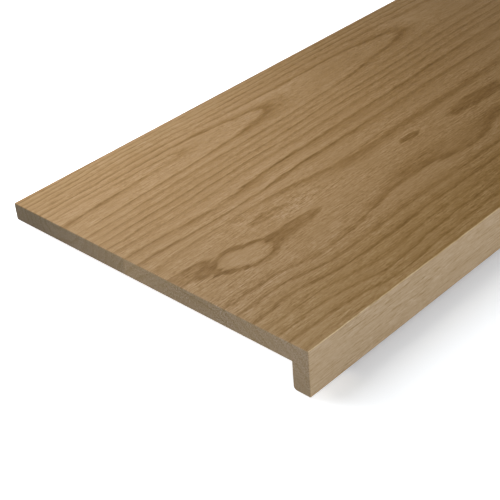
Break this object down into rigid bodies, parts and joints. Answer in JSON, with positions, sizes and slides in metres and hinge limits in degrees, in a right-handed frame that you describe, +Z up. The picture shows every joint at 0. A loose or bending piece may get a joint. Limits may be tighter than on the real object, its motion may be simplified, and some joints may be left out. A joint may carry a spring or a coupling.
{
  "type": "stair tread",
  "caption": "Oak stair tread: a flat rectangular board whose front edge turns down into a nosing lip, laid over a step as its walking surface.",
  "frame": {"origin": "bottom centre of the tread's bounding box as it lies on a floor, midway along its length", "axes": "+X along the length, -Y towards the nosing front, +Y towards the back edge, +Z up from the floor. The tread rests on the heel of its lip and on its back edge, so its top falls 4.58 degrees towards the back"},
  "size_m": [1, 0.302, 0.0388],
  "materials": {
    "oak": "planed flat-sawn oak under a thin satin lacquer, with open pores along the grain"
  },
  "bodies": {
    "root": {"stair_tread": "oak"}
  },
  "joints": []
}
